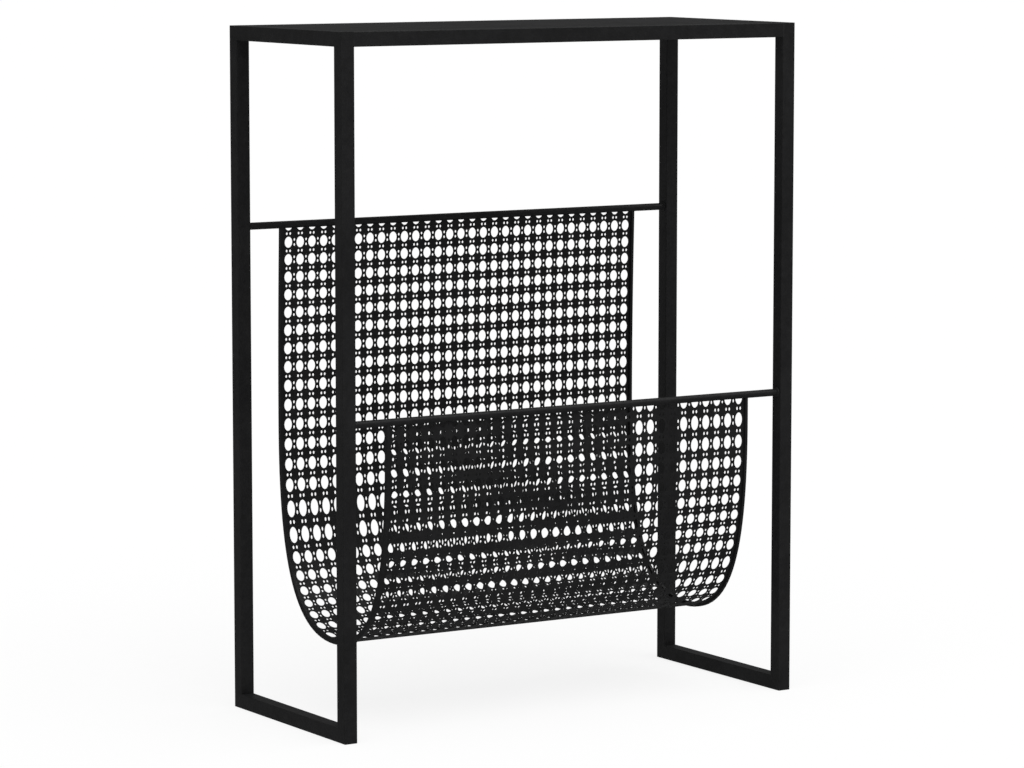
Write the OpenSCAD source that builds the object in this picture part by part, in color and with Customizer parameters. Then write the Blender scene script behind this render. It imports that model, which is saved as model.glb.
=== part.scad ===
// Newspaper rack: a slim steel side table whose frame holds a U-shaped
// basket of perforated sheet. +X is the rack's width, +Y points to the back
// and +Z is up. The origin is on the floor, at the middle of the footprint.

/* [Overall] */
// Outside width of the rack, from side frame to side frame
rack_width = 462; // [400:1:520]
// Outside depth of the rack, front to back
rack_depth = 196; // [180:1:220]
// Overall height, from the floor to the shelf surface
rack_height = 600; // [560:1:660]

/* [Square tube] */
// Outside size of the square tube
tube_size = 12.7; // [10:0.1:16]
// Wall thickness of the square tube
tube_wall = 1.2; // [1:0.1:2]
// Radius of the tube's outer corners
tube_corner_r = 0.8; // [0.3:0.1:1]

/* [Shelf] */
// Thickness of the flat shelf panel, flush with the top of the rails
panel_thickness = 1.5; // [1:0.1:3]

/* [Rods] */
// Diameter of the round rods that carry the basket
rod_diameter = 6.35; // [5:0.05:8]
// Height of the rear rod's top above the floor
rear_rod_top = 428.4; // [380:0.1:460]
// Height of the front rod's top above the floor
front_rod_top = 273.6; // [262:0.1:320]

/* [Basket] */
// Width of the basket sheet, between the bars along its two sides
sheet_width = 366.2; // [300:0.1:372]
// Width, along X, of the flat bar that edges each side of the sheet
rim_width = 2.6; // [2:0.1:4]
// Depth of that bar, which stands on edge, across the sheet
rim_depth = 4.5; // [3:0.1:5]
// Thickness of the basket sheet
sheet_thickness = 0.5; // [0.4:0.1:1]
// Height of the sheet's lowest point, on its middle surface
sheet_bottom_z = 69; // [50:0.1:80]
// Height at which the front and rear walls start to turn inwards
sheet_turn_z = 250; // [235:1:255]
// How far the rear wall leans out behind the rear rod
sheet_rear_lean = 3.1; // [0:0.1:4]

/* [Welds] */
// Leg length of the fillet around each rod's end
rod_weld_leg = 1.5; // [1:0.1:2.5]
// Leg length of the tacks that hold the sheet's edges
sheet_tack_leg = 1; // [0.6:0.1:1.6]
// Length of each of those tacks, which sit between columns of holes
sheet_tack_length = 4; // [2:0.5:5]
// Tacks along each edge of the sheet
sheet_tacks = 10; // [4:2:10]
// Distance between the middles of neighbouring tacks, three columns of holes
sheet_tack_pitch = 35.4; // [34:0.1:38]
// Leg length of the fillets under the panel
panel_stitch_leg = 1.6; // [1:0.1:2]
// Length of each of those fillets
panel_stitch_length = 14; // [8:1:20]
// Fillets along each long edge of the panel
panel_stitches = 4; // [2:1:6]

/* [Hidden] */
$fn = 48;

frame_colour = [0.03, 0.03, 0.032];
weld_colour = [0.05, 0.05, 0.05];

half_width = rack_width / 2;
half_depth = rack_depth / 2;
inner_half_width = half_width - tube_size;
inner_half_depth = half_depth - tube_size;
side_frame_x = half_width - tube_size / 2;   // centre plane of a side frame
rod_y = half_depth - tube_size / 2;          // the rods run through the legs' centre lines
rod_r = rod_diameter / 2;
rod_length = 2 * inner_half_width;
rear_rod_z = rear_rod_top - rod_r;
front_rod_z = front_rod_top - rod_r;

// Distance between the middles of neighbouring fillets under the panel
panel_stitch_pitch = 2 * inner_half_width / panel_stitches;

// Handles of the curves that turn the walls into the floor of the basket
turn_drop = 112.5;    // how far the walls keep running down before they turn
turn_reach = 74;      // how far the floor keeps running level before it turns
steps_per_turn = 28;
steps_per_wall = 10;

// The sheet's middle line in the Y-Z plane, from the rear rod to the front one
rear_wall_y = rod_y + sheet_rear_lean;
rear_wall = [
    [rod_y, rear_rod_z - rod_r],
    [rod_y + 0.6 * sheet_rear_lean, rear_rod_z - 55],
    [rear_wall_y, sheet_turn_z + 60],
    [rear_wall_y, sheet_turn_z]
];
rear_turn = [
    [rear_wall_y, sheet_turn_z],
    [rear_wall_y, sheet_turn_z - turn_drop],
    [turn_reach, sheet_bottom_z],
    [0, sheet_bottom_z]
];
front_turn = [
    [0, sheet_bottom_z],
    [-turn_reach, sheet_bottom_z],
    [-rod_y, sheet_turn_z - turn_drop],
    [-rod_y, sheet_turn_z]
];
front_end = [-rod_y, front_rod_z - rod_r];

// Point and left-hand normal of a cubic curve c at t
function curve_point(c, t) =
    pow(1 - t, 3) * c[0] + 3 * t * pow(1 - t, 2) * c[1]
    + 3 * t * t * (1 - t) * c[2] + pow(t, 3) * c[3];
function curve_slope(c, t) =
    pow(1 - t, 2) * (c[1] - c[0]) + 2 * t * (1 - t) * (c[2] - c[1])
    + t * t * (c[3] - c[2]);
function curve_normal(c, t) =
    let (s = curve_slope(c, t)) [-s.y, s.x] / norm(s);
function curve_side(c, steps, offset, first) =
    [for (i = [first : steps]) curve_point(c, i / steps) + offset * curve_normal(c, i / steps)];
function sheet_side(offset) = concat(
    curve_side(rear_wall, steps_per_wall, offset, 0),
    curve_side(rear_turn, steps_per_turn, offset, 1),
    curve_side(front_turn, steps_per_turn, offset, 1),
    [front_end + [-offset, 0]]
);
function reversed(list) = [for (i = [len(list) - 1 : -1 : 0]) list[i]];

// Outline of the square tube with its four rounded corners
module tube_outline(size, corner_r) {
    straight = size - 2 * corner_r;
    square([size, straight], center = true);
    square([straight, size], center = true);
    for (x = [-1, 1], y = [-1, 1])
        translate([x, y] * straight / 2)
            circle(r = corner_r);
}

// A straight length of tube along +Z, centred on the Z axis
module straight_tube(length) {
    linear_extrude(length)
        difference() {
            tube_outline(tube_size, tube_corner_r);
            square(tube_size - 2 * tube_wall, center = true);
        }
}

// A tube along +Z whose outer face is at y = 0 and whose ends are both cut
// at 45 degrees, so that the face at y = tube_size is the short one
module mitred_tube(length) {
    difference() {
        translate([0, tube_size / 2, 0])
            straight_tube(length);
        mitre_cut();
        translate([0, 0, length])
            mirror([0, 0, 1])
                mitre_cut();
    }
}

// The wedge that a mitre takes off the lower end of a tube
module mitre_cut() {
    rotate([45, 0, 0])
        translate([-tube_size, -tube_size, -2 * tube_size])
            cube([2 * tube_size, 4 * tube_size, 2 * tube_size]);
}

// The pieces of one side frame; side is -1 for the left one and 1 for the right
module front_leg(side) {
    color(frame_colour)
        translate([side * side_frame_x, -half_depth, 0])
            mitred_tube(rack_height);
}

module rear_leg(side) {
    mirror([0, 1, 0])
        front_leg(side);
}

module top_rail(side) {
    color(frame_colour)
        translate([side * side_frame_x, -half_depth, rack_height])
            rotate([-90, 0, 0])
                mitred_tube(rack_depth);
}

module floor_rail(side) {
    translate([0, 0, rack_height])
        mirror([0, 0, 1])
            top_rail(side);
}

// A rail between the side frames; side is -1 for the front and 1 for the rear
module cross_rail(side) {
    color(frame_colour)
        translate([-inner_half_width, side * rod_y, rack_height - tube_size / 2])
            rotate([0, 90, 0])
                straight_tube(2 * inner_half_width);
}

// A strip of the left side frame's rounded inner edge, missing metal that the
// weld puts back: along +Z, with the frame's outer face at y = 0
module edge_strip() {
    linear_extrude(tube_size)
        difference() {
            translate([-tube_corner_r, 0])
                square(tube_corner_r);
            translate([-tube_corner_r, tube_corner_r])
                circle(r = tube_corner_r);
        }
}

// The weld, ground flush, that fills the side frame's rounded edges where the
// left end of the front rail meets it, on the front and on the top
module rail_end_weld() {
    intersection() {
        translate([-inner_half_width, -half_depth, rack_height])
            union() {
                translate([0, 0, -tube_size])
                    edge_strip();
                mirror([0, 0, 1])
                    mirror([0, 1, -1])
                        edge_strip();
            }
        translate([-inner_half_width - tube_corner_r, -rod_y, rack_height - tube_size / 2])
            rotate([0, 90, 0])
                linear_extrude(tube_corner_r)
                    tube_outline(tube_size, tube_corner_r);
    }
}

module rail_end_welds() {
    color(weld_colour)
        for (x = [0, 1], y = [0, 1])
            mirror([x, 0, 0])
                mirror([0, y, 0])
                    rail_end_weld();
}

module shelf_panel() {
    color(frame_colour)
        translate([-inner_half_width, -inner_half_depth, rack_height - panel_thickness])
            cube([2 * inner_half_width, 2 * inner_half_depth, panel_thickness]);
}

// A round rod between two legs
module basket_rod(y, z) {
    color(frame_colour)
        translate([-rod_length / 2, y, z])
            rotate([0, 90, 0])
                cylinder(r = rod_r, h = rod_length);
}

// The sheet, hung between the undersides of the two rods. Its cane-pattern
// perforation is left out here, so that this is its plain envelope.
module basket_sheet() {
    half = sheet_thickness / 2;
    color(frame_colour)
        translate([-sheet_width / 2, 0, 0])
            rotate([90, 0, 90])
                linear_extrude(sheet_width)
                    polygon(concat(sheet_side(half), reversed(sheet_side(-half))));
}

// One side of a rim's outline in the Y-Z plane. It runs on to the middles of
// both rods, which then cut it to length.
function rim_side(offset) = concat(
    [[rod_y + offset, rear_rod_z]],
    curve_side(rear_wall, steps_per_wall, offset, 1),
    curve_side(rear_turn, steps_per_turn, offset, 1),
    curve_side(front_turn, steps_per_turn, offset, 1),
    [[-rod_y - offset, front_rod_z]]
);

// The bent bar along one side edge of the sheet, coped to the rods at both
// ends; side is -1 for the left one and 1 for the right
module sheet_rim(side) {
    half = rim_depth / 2;
    color(frame_colour)
        translate([side * (sheet_width + rim_width) / 2 - rim_width / 2, 0, 0])
            rotate([90, 0, 90])
                linear_extrude(rim_width)
                    difference() {
                        polygon(concat(rim_side(half), reversed(rim_side(-half))));
                        translate([rod_y, rear_rod_z])
                            circle(r = rod_r);
                        translate([-rod_y, front_rod_z])
                            circle(r = rod_r);
                    }
}

// The fillet where a rod meets a leg's face, along +X from that face
module rod_end_weld() {
    rotate([0, 90, 0])
        rotate_extrude()
            polygon([
                [rod_r, 0],
                [rod_r + rod_weld_leg, 0],
                [rod_r, rod_weld_leg]
            ]);
}

// The fillets at both ends of the rod at that y and z
module rod_welds(y, z) {
    color(weld_colour)
        for (side = [0, 1])
            mirror([side, 0, 0])
                translate([-inner_half_width, y, z])
                    rod_end_weld();
}

// A row of short fillets along X, centred on X = 0. Their section is the
// module's child, drawn with its x along +Y and its y along +Z.
module stitch_row(count, pitch, length) {
    for (i = [0 : count - 1])
        translate([(i - (count - 1) / 2) * pitch - length / 2, 0, 0])
            rotate([90, 0, 90])
                linear_extrude(length)
                    children();
}

// Section of the fillet between the sheet's rear face, at x = 0, and the
// underside of the rod above it
module sheet_fillet() {
    difference() {
        polygon([
            [0, -sheet_tack_leg],
            [1.25 * sheet_tack_leg, 0.8 * sheet_tack_leg],
            [0, 0.8 * sheet_tack_leg]
        ]);
        translate([-sheet_thickness / 2, rod_r])
            circle(r = rod_r);
    }
}

// Tacks on the rear face of the sheet, below the rod at that y and z
module sheet_welds(y, z) {
    color(weld_colour)
        translate([0, y + sheet_thickness / 2, z - rod_r])
            stitch_row(sheet_tacks, sheet_tack_pitch, sheet_tack_length)
                sheet_fillet();
}

// Section of the fillet under the panel, on a rail's inner face at x = 0
module panel_fillet() {
    polygon([[0, 0], [0, -panel_stitch_leg], [panel_stitch_leg, 0]]);
}

module shelf_panel_welds() {
    color(weld_colour)
        for (side = [0, 1])
            mirror([0, side, 0])
                translate([0, -inner_half_depth, rack_height - panel_thickness])
                    stitch_row(panel_stitches, panel_stitch_pitch, panel_stitch_length)
                        panel_fillet();
}

front_leg(-1);  // left_front_leg
rear_leg(-1);  // left_rear_leg
floor_rail(-1);  // left_floor_rail
top_rail(-1);  // left_top_rail
front_leg(1);  // right_front_leg
rear_leg(1);  // right_rear_leg
floor_rail(1);  // right_floor_rail
top_rail(1);  // right_top_rail
cross_rail(-1);  // front_top_rail
cross_rail(1);  // rear_top_rail
shelf_panel();
basket_rod(rod_y, rear_rod_z);  // rear_rod
basket_rod(-rod_y, front_rod_z);  // front_rod
basket_sheet();
sheet_rim(-1);  // left_sheet_rim
sheet_rim(1);  // right_sheet_rim
rail_end_welds();
shelf_panel_welds();
rod_welds(rod_y, rear_rod_z);  // rear_rod_welds
rod_welds(-rod_y, front_rod_z);  // front_rod_welds
sheet_welds(rod_y, rear_rod_z);  // rear_sheet_welds
sheet_welds(-rod_y, front_rod_z);  // front_sheet_welds
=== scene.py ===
# A newspaper rack of black powder-coated steel. Everything is in metres, in the
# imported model's own frame: +X is the width, +Y points to the back, +Z is up and
# the floor is at z = 0. The square tubes with their ground-flush welds, the rods,
# the sheet's rims and the shelf panel are the CAD parts themselves. The perforated
# sheet and the weld beads are built here and stand for their plain CAD solids.

import bisect
import math

import bmesh
import bpy
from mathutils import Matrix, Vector
from mathutils.geometry import delaunay_2d_cdt


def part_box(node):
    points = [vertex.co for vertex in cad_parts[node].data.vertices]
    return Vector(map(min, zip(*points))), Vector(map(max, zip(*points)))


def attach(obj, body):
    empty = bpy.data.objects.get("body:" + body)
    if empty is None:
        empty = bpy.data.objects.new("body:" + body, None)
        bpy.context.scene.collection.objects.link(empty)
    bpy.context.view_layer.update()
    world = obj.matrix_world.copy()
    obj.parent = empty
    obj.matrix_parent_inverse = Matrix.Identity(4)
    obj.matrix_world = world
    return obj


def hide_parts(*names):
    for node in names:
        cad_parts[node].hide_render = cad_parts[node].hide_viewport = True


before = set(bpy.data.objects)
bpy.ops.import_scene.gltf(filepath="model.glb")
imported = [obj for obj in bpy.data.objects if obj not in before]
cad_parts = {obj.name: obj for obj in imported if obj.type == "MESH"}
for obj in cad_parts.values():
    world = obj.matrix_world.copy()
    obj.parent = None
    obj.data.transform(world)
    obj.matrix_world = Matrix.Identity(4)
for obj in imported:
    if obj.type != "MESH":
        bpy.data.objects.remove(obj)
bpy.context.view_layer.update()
BODY = "root"
MM = 0.001

# ---------------------------------------------------------------- camera

CAMERA_AIM = Vector((-0.0033, 0.0, 0.2825))
CAMERA_DISTANCE = 3.653
CAMERA_TURN = math.radians(31.95)     # the camera stands to the front left
CAMERA_DIP = math.radians(6.81)       # and looks down a little
CAMERA_LENS = 145.15                  # millimetres on a 36 mm sensor


def make_camera():
    data = bpy.data.cameras.new("camera")
    data.sensor_width = 36.0
    data.lens = CAMERA_LENS
    data.clip_start = 0.05
    data.clip_end = 400.0
    camera = bpy.data.objects.new("camera", data)
    bpy.context.scene.collection.objects.link(camera)
    camera.rotation_euler = (math.pi / 2 - CAMERA_DIP, 0.0, -CAMERA_TURN)
    ahead = Vector((
        math.sin(CAMERA_TURN) * math.cos(CAMERA_DIP),
        math.cos(CAMERA_TURN) * math.cos(CAMERA_DIP),
        -math.sin(CAMERA_DIP),
    ))
    camera.location = CAMERA_AIM - CAMERA_DISTANCE * ahead
    bpy.context.scene.camera = camera


# ---------------------------------------------------------------- materials

PAINT_DARK = (0.0070, 0.0070, 0.0073)
PAINT_LIGHT = (0.0126, 0.0126, 0.0130)
# a lighter colour painted along the edges as a highlight
PAINT_EDGE_HIGHLIGHT = (0.028, 0.028, 0.029)

CLOUD_SIZE = 70 * MM          # the coat's tone varies in patches of three sizes
MOTTLE_SIZE = 6 * MM
GRAIN_SIZE = 0.5 * MM
GRAIN_DEPTH = 0.1 * MM
TONE_RANGE = (1.2, 1.8)       # where most of the sum of those three noises lies
GLOSS_PATCH = 18 * MM         # its gloss varies in patches of one size
GLOSS_RANGE = (0.3, 0.7)      # where most of that noise lies
HIGHLIGHT_PATCH = 9 * MM           # patches of an edge with and without the painted highlight
HIGHLIGHT_RANGE = (0.46, 0.62)     # from no painted highlight to the full one on that noise
HIGHLIGHT_WIDTH = 0.7 * MM         # how far from an edge the painted highlight reaches
HIGHLIGHT_GLOSS = 0.12             # how much less rough an edge under the full painted highlight is
BEVEL_SAMPLES = 4
EDGE_COSINE = 0.8             # cosine of the turn that counts as a full edge


class Nodes:
    """A few short calls for building one material's node tree."""

    def __init__(self, name):
        self.material = bpy.data.materials.new(name)
        self.material.use_nodes = True
        self.tree = self.material.node_tree
        self.shader = self.tree.nodes["Principled BSDF"]
        texture_place = self.tree.nodes.new("ShaderNodeTexCoord")
        self.place = texture_place.outputs["Object"]

    def link(self, output, node_input):
        self.tree.links.new(output, node_input)

    def noise(self, feature, detail=2.0, roughness=0.5):
        """Noise whose features are about that many metres wide, from 0 to 1."""
        node = self.tree.nodes.new("ShaderNodeTexNoise")
        node.inputs["Scale"].default_value = 1.0 / feature
        node.inputs["Detail"].default_value = detail
        node.inputs["Roughness"].default_value = roughness
        self.link(self.place, node.inputs["Vector"])
        return node.outputs["Fac"]

    def spread(self, value, low, high, to_low=0.0, to_high=1.0):
        """value from low..high to to_low..to_high, held inside that range."""
        node = self.tree.nodes.new("ShaderNodeMapRange")
        node.inputs["From Min"].default_value = low
        node.inputs["From Max"].default_value = high
        node.inputs["To Min"].default_value = to_low
        node.inputs["To Max"].default_value = to_high
        self.link(value, node.inputs["Value"])
        return node.outputs["Result"]

    def maths(self, operation, a, b):
        node = self.tree.nodes.new("ShaderNodeMath")
        node.operation = operation
        for value, socket in ((a, node.inputs[0]), (b, node.inputs[1])):
            if isinstance(value, (int, float)):
                socket.default_value = value
            else:
                self.link(value, socket)
        return node.outputs[0]

    def mix_colours(self, factor, a, b):
        node = self.tree.nodes.new("ShaderNodeMix")
        node.data_type = "RGBA"
        self.link(factor, node.inputs["Factor"])
        for value, socket in ((a, node.inputs["A"]), (b, node.inputs["B"])):
            if isinstance(value, tuple):
                socket.default_value = (*value, 1.0)
            else:
                self.link(value, socket)
        return node.outputs["Result"]

    def bump(self, height, depth, under=None):
        """A bump of that depth in metres; under is another bump to lie on."""
        node = self.tree.nodes.new("ShaderNodeBump")
        node.inputs["Distance"].default_value = depth
        node.inputs["Strength"].default_value = 1.0
        self.link(height, node.inputs["Height"])
        if under is not None:
            self.link(under, node.inputs["Normal"])
        return node.outputs["Normal"]

    def near_edges(self, radius):
        """1 at a convex or concave edge, falling to 0 about that far from it."""
        rounded = self.tree.nodes.new("ShaderNodeBevel")
        rounded.samples = BEVEL_SAMPLES
        rounded.inputs["Radius"].default_value = radius
        flat = self.tree.nodes.new("ShaderNodeNewGeometry")
        dot = self.tree.nodes.new("ShaderNodeVectorMath")
        dot.operation = "DOT_PRODUCT"
        self.link(rounded.outputs["Normal"], dot.inputs[0])
        self.link(flat.outputs["Normal"], dot.inputs[1])
        return self.spread(dot.outputs["Value"], 1.0, EDGE_COSINE)


def powder_coat(name, peel=1.8 * MM, peel_depth=0.2 * MM, roughness=0.5,
                specular=0.2, edge_highlight=0.0):
    """Black powder coat: an orange-peel skin with a fine grain on it, slightly
    uneven colour and gloss, and a highlight painted a shade lighter along edges."""
    nodes = Nodes(name)
    clouds = nodes.noise(CLOUD_SIZE, detail=3.0)
    mottle = nodes.noise(MOTTLE_SIZE, detail=4.0, roughness=0.6)
    grains = nodes.noise(GRAIN_SIZE)
    patches = nodes.maths("ADD", clouds, mottle)
    tone = nodes.spread(nodes.maths("ADD", patches, grains), *TONE_RANGE)
    colour = nodes.mix_colours(tone, PAINT_DARK, PAINT_LIGHT)
    gloss = nodes.spread(nodes.noise(GLOSS_PATCH, detail=4.0), *GLOSS_RANGE,
                         roughness - 0.05, roughness + 0.06)
    # painted highlight: a lighter colour along convex and concave edges, in patches, where the
    # coat is also a little less rough
    if edge_highlight:
        highlight_patches = nodes.spread(nodes.noise(HIGHLIGHT_PATCH, detail=5.0), *HIGHLIGHT_RANGE)
        painted_highlight = nodes.maths("MULTIPLY", nodes.near_edges(HIGHLIGHT_WIDTH), highlight_patches)
        painted_highlight = nodes.maths("MULTIPLY", painted_highlight, edge_highlight)
        colour = nodes.mix_colours(painted_highlight, colour, PAINT_EDGE_HIGHLIGHT)
        gloss = nodes.maths("SUBTRACT", gloss, nodes.maths("MULTIPLY", painted_highlight, HIGHLIGHT_GLOSS))
    skin = nodes.bump(nodes.noise(peel, detail=1.0), peel_depth)
    surface = nodes.bump(grains, GRAIN_DEPTH, under=skin)
    shader = nodes.shader
    nodes.link(colour, shader.inputs["Base Color"])
    nodes.link(gloss, shader.inputs["Roughness"])
    nodes.link(surface, shader.inputs["Normal"])
    shader.inputs["Specular IOR Level"].default_value = specular
    return nodes.material


def make_finishes():
    """One material for each of the record's slots."""
    return {
        # the frame and the shelf get a lighter, painted highlight along their edges
        "frame_paint": powder_coat("frame_powder_coat", edge_highlight=0.6),
        "shelf_paint": powder_coat("shelf_powder_coat", peel=2.2 * MM, roughness=0.55,
                                   specular=0.14, edge_highlight=0.5),
        "rod_paint": powder_coat("rod_powder_coat", peel=1.4 * MM,
                                 peel_depth=0.12 * MM, roughness=0.46),
        "sheet_paint": powder_coat("sheet_powder_coat", peel=1.4 * MM,
                                   peel_depth=0.12 * MM),
        "weld_paint": powder_coat("weld_powder_coat", peel=0.9 * MM,
                                  peel_depth=0.15 * MM, roughness=0.55),
    }


def paint_cad_nodes(finishes):
    """Every CAD node keeps its slots and gets their finishes."""
    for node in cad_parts.values():
        for material_slot in node.material_slots:
            slot_name = material_slot.material.name.split(".")[0]
            material_slot.material = finishes[slot_name]


# ---------------------------------------------------------------- pieces


def add_piece(name, mesh, slot_name, finishes, *replaced):
    """A new piece on the rack's one body, in its slot's finish."""
    mesh.materials.append(finishes[slot_name])
    piece = bpy.data.objects.new(name, mesh)
    bpy.context.scene.collection.objects.link(piece)
    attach(piece, BODY)
    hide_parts(*replaced)


def smooth_shape(shape, sharp_angle):
    """Smooth shading over a bmesh, but for edges that turn more degrees than that."""
    for face in shape.faces:
        face.smooth = True
    for edge in shape.edges:
        edge.smooth = edge.calc_face_angle(0.0) < math.radians(sharp_angle)


# ---------------------------------------------------------------- basket sheet

SHEET_THICKNESS = 0.5 * MM
RIM_SINK = 0.4 * MM           # how far the sheet reaches into the rims beside it
WALL_LEAN = 3.1 * MM          # how far the rear wall leans out behind its rod
WALL_DROP = 55 * MM           # upper handle of the rear wall's curve, below the rod,
WALL_DROP_LEAN = 0.6          # and the share of the lean that it has
WALL_RISE = 60 * MM           # lower handle of that curve, above its end
TURN_TOP = 250 * MM           # height at which both walls start to turn inwards
TURN_DROP = 112.5 * MM        # handles of the two curves at the bottom
TURN_REACH = 74 * MM
CURVE_STEPS = 240             # along each of the three curves

COLUMNS = 31
COLUMN_PITCH = 11.81 * MM
FIRST_ROW_PLACE = -2.65 * MM  # middle of row 0 along the sheet; the rod cuts it
LAST_ROW = 39                 # and the front rod cuts this one
# The rows aren't evenly spaced: row number and the pitch there, in millimetres
ROW_PITCHES = (
    (0.0, 15.2), (5.0, 15.7), (10.0, 17.2), (14.0, 18.4), (15.0, 23.7),
    (16.0, 23.0), (17.0, 17.6), (18.5, 14.2), (20.0, 11.9), (21.5, 15.0),
    (23.0, 19.6), (25.0, 15.1), (27.0, 14.7), (28.5, 15.7), (30.0, 20.4),
    (31.0, 16.0), (32.0, 13.1), (34.0, 15.8), (36.0, 17.7), (38.0, 20.2),
    (40.0, 19.6),
)

# The cane pattern, as shares of one column's and one row's pitch
BIG_HOLE = (0.645, 0.631)
STACKED_HOLE = (0.145, 0.154)  # two, one above the other, between columns
STACKED_OFFSET = 0.143
PAIRED_HOLE = (0.158, 0.150)   # two, side by side, between rows
PAIRED_OFFSET = 0.145
BIG_HOLE_SIDES = 16
SMALL_HOLE_SIDES = 8
SIDE = 0.0                     # where an oval's first corner is
TOP = math.pi / 2
EDGE_STEPS = 4                 # steps per row along the sheet's two sides
ROW_STRETCH = 1.45             # a row is about that much taller than a column
SAME_POINT = 1e-6              # corners of a tile that are as near as this are one
POINTS_PER_PITCH = 5000        # rounding that finds the corners shared by two tiles
SHEET_CREASE = 50              # degrees; sharper edges of the sheet aren't smoothed


def cubic(corners, t):
    """The point at t, from 0 to 1, of a curve with two ends and two handles."""
    a, b, c, d = corners
    u = 1.0 - t
    return u ** 3 * a + 3 * t * u ** 2 * b + 3 * t ** 2 * u * c + t ** 3 * d


class SheetLine:
    """The middle line of the sheet in the Y-Z plane, by length along it."""

    def __init__(self):
        rear_low, rear_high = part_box("rear_rod")
        front_low, front_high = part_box("front_rod")
        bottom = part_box("basket_sheet")[0].z + SHEET_THICKNESS / 2
        rear_y = (rear_low.y + rear_high.y) / 2
        rear_z = (rear_low.z + rear_high.z) / 2
        front_y = (front_low.y + front_high.y) / 2
        wall_y = rear_y + WALL_LEAN
        bottom_middle = Vector((0.0, bottom))
        rear_turn_top = Vector((wall_y, TURN_TOP))
        front_turn_top = Vector((front_y, TURN_TOP))
        curves = (
            (Vector((rear_y, rear_low.z)),
             Vector((rear_y + WALL_DROP_LEAN * WALL_LEAN, rear_z - WALL_DROP)),
             rear_turn_top + Vector((0.0, WALL_RISE)),
             rear_turn_top),
            (rear_turn_top,
             rear_turn_top - Vector((0.0, TURN_DROP)),
             bottom_middle + Vector((TURN_REACH, 0.0)),
             bottom_middle),
            (bottom_middle,
             bottom_middle - Vector((TURN_REACH, 0.0)),
             front_turn_top - Vector((0.0, TURN_DROP)),
             front_turn_top),
        )
        points = [curves[0][0]]
        for curve in curves:
            for i in range(1, CURVE_STEPS + 1):
                points.append(cubic(curve, i / CURVE_STEPS))
        points.append(Vector((front_y, front_low.z)))
        self.points = points
        self.places = [0.0]
        for a, b in zip(points, points[1:]):
            self.places.append(self.places[-1] + (b - a).length)
        self.length = self.places[-1]

    def at(self, place):
        """The point at that length along the line, and the way out from it."""
        place = min(max(place, 0.0), self.length)
        high = min(bisect.bisect_right(self.places, place), len(self.places) - 1)
        low = high - 1
        a, b = self.points[low], self.points[high]
        share = (place - self.places[low]) / (self.places[high] - self.places[low])
        ahead = self.slope(low).lerp(self.slope(high), share).normalized()
        return a.lerp(b, share), Vector((-ahead.y, ahead.x))

    def slope(self, i):
        """The line's direction at one of its points."""
        before = self.points[max(i - 1, 0)]
        after = self.points[min(i + 1, len(self.points) - 1)]
        return (after - before).normalized()


class RowLine:
    """Where each row lies along the sheet; rows between whole numbers too."""

    STEPS_PER_ROW = 40
    HALVINGS = 40

    def __init__(self):
        place = FIRST_ROW_PLACE - self.pitch(0.0) / 2
        self.places = [place]
        for i in range((LAST_ROW + 1) * self.STEPS_PER_ROW):
            row = (i + 0.5) / self.STEPS_PER_ROW - 0.5
            place += self.pitch(row) / self.STEPS_PER_ROW
            self.places.append(place)

    def pitch(self, row):
        """The distance between rows there, from the pitches on both sides of it."""
        row = min(max(row, ROW_PITCHES[0][0]), ROW_PITCHES[-1][0])
        for (low, a), (high, b) in zip(ROW_PITCHES, ROW_PITCHES[1:]):
            if row <= high:
                return (a + (b - a) * (row - low) / (high - low)) * MM
        return ROW_PITCHES[-1][1] * MM

    def place(self, row):
        """The length along the sheet at which that row is."""
        step = (row + 0.5) * self.STEPS_PER_ROW
        i = min(max(int(step), 0), len(self.places) - 2)
        return self.places[i] + (self.places[i + 1] - self.places[i]) * (step - i)

    def row(self, place):
        """The row at a length along the sheet, by halving."""
        low, high = -0.5, LAST_ROW + 0.5
        for _ in range(self.HALVINGS):
            middle = (low + high) / 2
            if self.place(middle) < place:
                low = middle
            else:
                high = middle
        return (low + high) / 2


def oval(x, y, size, sides, first_turn):
    """Corners round an oval hole. They lie a little outside it, so that the
    hole keeps its area."""
    step = math.tau / sides
    growth = math.sqrt(step / math.sin(step))
    turns = [first_turn + i * step for i in range(sides)]
    return [(x + growth * size[0] / 2 * math.cos(turn),
             y + growth * size[1] / 2 * math.sin(turn)) for turn in turns]


def hole_loops(low, high, first_column, last_column):
    """The outlines of one tile's holes, round a big hole at (0, 0). The small
    holes lie on the tile's edges, which share them with the next tile. There are
    none on the sheet's two sides, and a rod cuts through none."""
    loops = [oval(0.0, 0.0, BIG_HOLE, BIG_HOLE_SIDES, TOP)]
    edges = ([] if first_column else [-0.5]) + ([] if last_column else [0.5])
    for x in edges:
        for y in (-STACKED_OFFSET, STACKED_OFFSET):
            if low < y < high:
                loops.append(oval(x, y, STACKED_HOLE, SMALL_HOLE_SIDES, TOP))
    for y in (-0.5, 0.5):
        for x in (-PAIRED_OFFSET, PAIRED_OFFSET):
            loops.append(oval(x, y, PAIRED_HOLE, SMALL_HOLE_SIDES, SIDE))
    return loops


def inside(point, loop):
    """Whether a point is inside a convex loop that turns left."""
    for (ax, ay), (bx, by) in zip(loop, loop[1:] + loop[:1]):
        if (bx - ax) * (point[1] - ay) - (by - ay) * (point[0] - ax) < 0:
            return False
    return True


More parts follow.
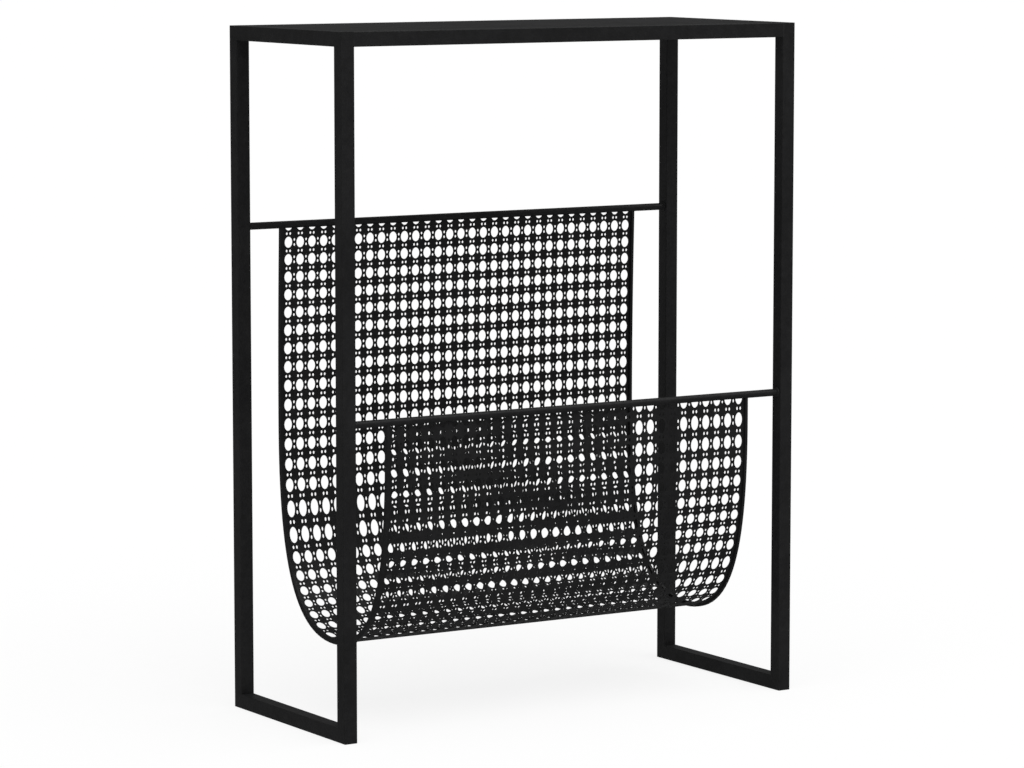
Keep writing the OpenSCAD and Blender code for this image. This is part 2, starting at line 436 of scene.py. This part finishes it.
def tile_triangles(low, high, first_column=False, last_column=False):
    """One tile of the pattern, from row share low to high, as triangles of
    (column share, row share) points. Tiles at the sheet's ends are cut short."""
    left = EDGE_STEPS if first_column else 1
    right = EDGE_STEPS if last_column else 1
    border = [(-0.5, low), (0.5, low)]
    border += [(0.5, low + (high - low) * i / right) for i in range(1, right)]
    border += [(0.5, high), (-0.5, high)]
    border += [(-0.5, high + (low - high) * i / left) for i in range(1, left)]
    loops = hole_loops(low, high, first_column, last_column)
    points, edges = [], []
    for loop in [border] + loops:
        first = len(points)
        points += [Vector((x, y * ROW_STRETCH)) for x, y in loop]
        edges += [(first + i, first + (i + 1) % len(loop)) for i in range(len(loop))]
    corners, _, faces, _, _, _ = delaunay_2d_cdt(points, edges, [], 0, SAME_POINT)
    corners = [(c.x, c.y / ROW_STRETCH) for c in corners]
    triangles = []
    for face in faces:
        triangle = [corners[i] for i in face]
        middle = (sum(c[0] for c in triangle) / 3, sum(c[1] for c in triangle) / 3)
        if abs(middle[0]) > 0.5 or not low < middle[1] < high:
            continue
        if any(inside(middle, loop) for loop in loops):
            continue
        triangles.append(triangle)
    return triangles


def sheet_face(sheet_line, row_line):
    """The sheet's flat pattern: points as (column, row) and faces over them."""
    first_cut = row_line.row(0.0)
    last_cut = row_line.row(sheet_line.length) - LAST_ROW
    half_width = (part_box("basket_sheet")[1].x + RIM_SINK) / COLUMN_PITCH
    middle_column = (COLUMNS - 1) / 2
    points, numbers, faces = [], {}, []

    def number(column, row):
        key = (round(column * POINTS_PER_PITCH), round(row * POINTS_PER_PITCH))
        if key not in numbers:
            numbers[key] = len(points)
            points.append((column, row))
        return numbers[key]

    tiles = {}
    for row in range(LAST_ROW + 1):
        low = first_cut if row == 0 else -0.5
        high = last_cut if row == LAST_ROW else 0.5
        for column in range(COLUMNS):
            kind = (low, high, column == 0, column == COLUMNS - 1)
            if kind not in tiles:
                tiles[kind] = tile_triangles(*kind)
            for triangle in tiles[kind]:
                corners = [number(column - middle_column + x, row + y) for x, y in triangle]
                if len(set(corners)) == 3:
                    faces.append(corners)
        for side in (-1, 1):
            inner = side * COLUMNS / 2
            outer = side * half_width
            for i in range(EDGE_STEPS):
                a = row + low + (high - low) * i / EDGE_STEPS
                b = row + low + (high - low) * (i + 1) / EDGE_STEPS
                corners = [number(inner, a), number(outer, a),
                           number(outer, b), number(inner, b)]
                faces.append(corners if side == 1 else corners[::-1])
    return points, faces


def build_sheet():
    """The perforated sheet, with its full thickness and the walls of its holes."""
    sheet_line = SheetLine()
    row_line = RowLine()
    points, faces = sheet_face(sheet_line, row_line)
    outer, inner = [], []
    for column, row in points:
        middle, out = sheet_line.at(row_line.place(row))
        for side, half in ((outer, SHEET_THICKNESS / 2), (inner, -SHEET_THICKNESS / 2)):
            place = middle + half * out
            side.append((column * COLUMN_PITCH, place.x, place.y))
    count = len(points)
    uses = {}
    for face in faces:
        for a, b in zip(face, face[1:] + face[:1]):
            uses[frozenset((a, b))] = None if frozenset((a, b)) in uses else (a, b)
    open_edges = [edge for edge in uses.values() if edge is not None]
    all_faces = list(faces)
    all_faces += [[count + i for i in reversed(face)] for face in faces]
    all_faces += [[b, a, count + a, count + b] for a, b in open_edges]
    mesh = bpy.data.meshes.new("perforated_sheet")
    mesh.from_pydata(outer + inner, [], all_faces)
    mesh.update()
    shape = bmesh.new()
    shape.from_mesh(mesh)
    bmesh.ops.recalc_face_normals(shape, faces=shape.faces)
    smooth_shape(shape, SHEET_CREASE)
    shape.to_mesh(mesh)
    shape.free()
    return mesh


# ---------------------------------------------------------------- weld beads

BEAD_SINK = 0.15 * MM          # how deep a bead reaches into the metal behind it
BEAD_STEPS = 8                 # steps over a bead's face, from one toe to the other
BEAD_FULLNESS = 1.4            # 1 is a round face and 2 is a flat one
BEAD_CREASE = 60               # degrees; sharper edges of a bead aren't smoothed
BEAD_RIPPLE = 1.1 * MM         # from one ripple of a bead to the next
RIPPLE_STEPS = 6               # steps over one ripple
RIPPLE_DEPTH = 0.09            # as a share of the bead's size
LEAST_STEPS = 12               # along a short bead
END_SQUARENESS = 6             # higher is squarer; 2 would be a half circle
END_SIZE_SQUARED = 0.02        # of the share of its size that a bead ends with
ROD_WELD_LEG = 1.5 * MM
TACK_LENGTH = 4 * MM
TACK_LEG = 1 * MM              # down the sheet
TACK_WIDTH = 1.15 * MM         # back along the rod's underside
TACK_SLANT = 0.25              # how steeply that underside rises
TACK_RISE = 0.1 * MM           # how far into the rod a tack's corner is
TACKS = 10                     # along each edge of the sheet
TACK_COLUMNS = 3               # columns of holes from one tack to the next
STITCH_LENGTH = 14 * MM
STITCH_LEG = 1.6 * MM
STITCHES = 4                   # under each long edge of the panel


def bead_section(width, height):
    """A bead's section in the corner between two faces that meet at (0, 0), as
    points (across, up). Its face bulges a little, from one toe to the other."""
    face = []
    for i in range(BEAD_STEPS + 1):
        turn = math.pi / 2 * i / BEAD_STEPS
        face.append((width * math.cos(turn) ** BEAD_FULLNESS,
                     height * math.sin(turn) ** BEAD_FULLNESS))
    low, high = face[0], face[-1]
    return [(-BEAD_SINK, -BEAD_SINK), (low[0], -BEAD_SINK)] + face + [(-BEAD_SINK, high[1])]


def ripple(place):
    """The bead's size at a place along it, where each ripple ends in a crease."""
    return 1.0 - RIPPLE_DEPTH * abs(math.sin(math.pi * place / BEAD_RIPPLE))


def straight_bead(shape, start, length, section, across, up):
    """A bead of that length along +X with round ends, added to a bmesh."""
    steps = max(round(length / (BEAD_RIPPLE / RIPPLE_STEPS)), LEAST_STEPS)
    rings = []
    for i in range(steps + 1):
        place = length * i / steps
        from_middle = 2.0 * i / steps - 1.0
        round_off = 1.0 - abs(from_middle) ** END_SQUARENESS
        size = ripple(place) * math.sqrt(max(round_off, END_SIZE_SQUARED))
        corners = [start + Vector((place, 0.0, 0.0)) + size * (a * across + b * up)
                   for a, b in section]
        rings.append([shape.verts.new(corner) for corner in corners])
    join_rings(shape, rings)
    shape.faces.new(rings[0][::-1])
    shape.faces.new(rings[-1])


def round_bead(shape, centre, radius, side, section):
    """A bead right round a rod's end, against a face that looks along side."""
    steps = round(math.tau * radius / (BEAD_RIPPLE / RIPPLE_STEPS))
    ripples = round(math.tau * radius / BEAD_RIPPLE)
    rings = []
    for i in range(steps):
        turn = math.tau * i / steps
        out = Vector((0.0, math.cos(turn), math.sin(turn)))
        size = ripple(BEAD_RIPPLE * ripples * i / steps)
        rings.append([shape.verts.new(centre + radius * out + size * (a * out + b * side))
                      for a, b in section])
    join_rings(shape, rings + rings[:1])


def join_rings(shape, rings):
    """Faces between each ring of corners and the next."""
    for ring, after in zip(rings, rings[1:]):
        for i in range(len(ring)):
            j = (i + 1) % len(ring)
            shape.faces.new((ring[i], ring[j], after[j], after[i]))


def bead_mesh(name, shape):
    """The finished mesh of a bmesh, which is freed."""
    bmesh.ops.recalc_face_normals(shape, faces=shape.faces)
    smooth_shape(shape, BEAD_CREASE)
    mesh = bpy.data.meshes.new(name)
    shape.to_mesh(mesh)
    shape.free()
    return mesh


def build_rod_beads(name, rod):
    """The beads round both ends of a rod, against the legs."""
    shape = bmesh.new()
    section = bead_section(ROD_WELD_LEG, ROD_WELD_LEG)
    low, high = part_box(rod)
    radius = (high.z - low.z) / 2
    for x, side in ((low.x, 1.0), (high.x, -1.0)):
        centre = Vector((x, (low.y + high.y) / 2, (low.z + high.z) / 2))
        round_bead(shape, centre, radius, Vector((side, 0.0, 0.0)), section)
    return bead_mesh(name, shape)


def build_sheet_beads(name, rod):
    """Tacks behind the sheet, in the corner under the rod."""
    shape = bmesh.new()
    low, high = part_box(rod)
    corner_y = (low.y + high.y) / 2 + SHEET_THICKNESS / 2
    section = bead_section(TACK_WIDTH, TACK_LEG)
    for i in range(TACKS):
        x = (i - (TACKS - 1) / 2) * TACK_COLUMNS * COLUMN_PITCH - TACK_LENGTH / 2
        straight_bead(shape, Vector((x, corner_y, low.z + TACK_RISE)), TACK_LENGTH, section,
                      Vector((0.0, 1.0, TACK_SLANT)), Vector((0.0, 0.0, -1.0)))
    return bead_mesh(name, shape)


def build_panel_beads():
    """Stitches under the panel, in the corners with the front and rear rails."""
    shape = bmesh.new()
    low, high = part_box("shelf_panel")
    pitch = (high.x - low.x) / STITCHES
    section = bead_section(STITCH_LEG, STITCH_LEG)
    for y, side in ((low.y, 1.0), (high.y, -1.0)):
        for i in range(STITCHES):
            x = (i - (STITCHES - 1) / 2) * pitch - STITCH_LENGTH / 2
            straight_bead(shape, Vector((x, y, low.z)), STITCH_LENGTH, section,
                          Vector((0.0, side, 0.0)), Vector((0.0, 0.0, -1.0)))
    return bead_mesh("shelf_panel_beads", shape)


# ---------------------------------------------------------------- stage

FLOOR_SIZE = 120.0
FLOOR_GREY = 0.15
FLOOR_GLOW = 0.84              # so pale that only a faint shadow shows on it
WORLD_LIGHT = 0.15
WHITE = (1.0, 1.0, 1.0, 1.0)


def make_floor():
    mesh = bpy.data.meshes.new("floor")
    half = FLOOR_SIZE / 2
    corners = [(-half, -half, 0.0), (half, -half, 0.0), (half, half, 0.0), (-half, half, 0.0)]
    mesh.from_pydata(corners, [], [(0, 1, 2, 3)])
    material = bpy.data.materials.new("pale_floor")
    material.use_nodes = True
    shader = material.node_tree.nodes["Principled BSDF"]
    shader.inputs["Base Color"].default_value = (FLOOR_GREY, FLOOR_GREY, FLOOR_GREY, 1.0)
    shader.inputs["Roughness"].default_value = 0.9
    shader.inputs["Specular IOR Level"].default_value = 0.0
    shader.inputs["Emission Color"].default_value = WHITE
    shader.inputs["Emission Strength"].default_value = FLOOR_GLOW
    mesh.materials.append(material)
    floor = bpy.data.objects.new("floor", mesh)
    bpy.context.scene.collection.objects.link(floor)
    floor.visible_glossy = False


def make_sun(name, turn, height, strength, softness):
    """A soft light from far away. turn is the side that it comes from, in
    degrees from the front towards the right, and height its angle above the floor."""
    data = bpy.data.lights.new(name, "SUN")
    data.energy = strength
    data.angle = math.radians(softness)
    lamp = bpy.data.objects.new(name, data)
    bpy.context.scene.collection.objects.link(lamp)
    lamp.rotation_euler = (math.radians(90 - height), 0.0, math.radians(turn))


def make_world(strength):
    """Even light from all sides. The camera sees it white, like the floor."""
    world = bpy.data.worlds.new("studio")
    world.use_nodes = True
    nodes = world.node_tree.nodes
    links = world.node_tree.links
    light = nodes["Background"]
    light.inputs["Color"].default_value = WHITE
    light.inputs["Strength"].default_value = strength
    backdrop = nodes.new("ShaderNodeBackground")
    backdrop.inputs["Color"].default_value = WHITE
    path = nodes.new("ShaderNodeLightPath")
    mix = nodes.new("ShaderNodeMixShader")
    links.new(path.outputs["Is Camera Ray"], mix.inputs["Fac"])
    links.new(light.outputs["Background"], mix.inputs[1])
    links.new(backdrop.outputs["Background"], mix.inputs[2])
    links.new(mix.outputs["Shader"], nodes["World Output"].inputs["Surface"])
    bpy.context.scene.world = world


def make_lights():
    make_world(WORLD_LIGHT)
    make_sun("key_light", turn=-20, height=65, strength=2.4, softness=70)
    make_sun("fill_light", turn=60, height=60, strength=0.9, softness=80)
    bpy.context.scene.view_settings.view_transform = "Standard"


# ---------------------------------------------------------------- the whole rack

make_camera()
finishes = make_finishes()
paint_cad_nodes(finishes)
add_piece("perforated_sheet", build_sheet(), "sheet_paint", finishes, "basket_sheet")
for end in ("rear", "front"):
    beads = build_rod_beads(f"{end}_rod_beads", f"{end}_rod")
    add_piece(f"{end}_rod_beads", beads, "weld_paint", finishes, f"{end}_rod_welds")
    beads = build_sheet_beads(f"{end}_sheet_beads", f"{end}_rod")
    add_piece(f"{end}_sheet_beads", beads, "weld_paint", finishes, f"{end}_sheet_welds")
add_piece("shelf_panel_beads", build_panel_beads(), "weld_paint", finishes, "shelf_panel_welds")
make_floor()
make_lights()
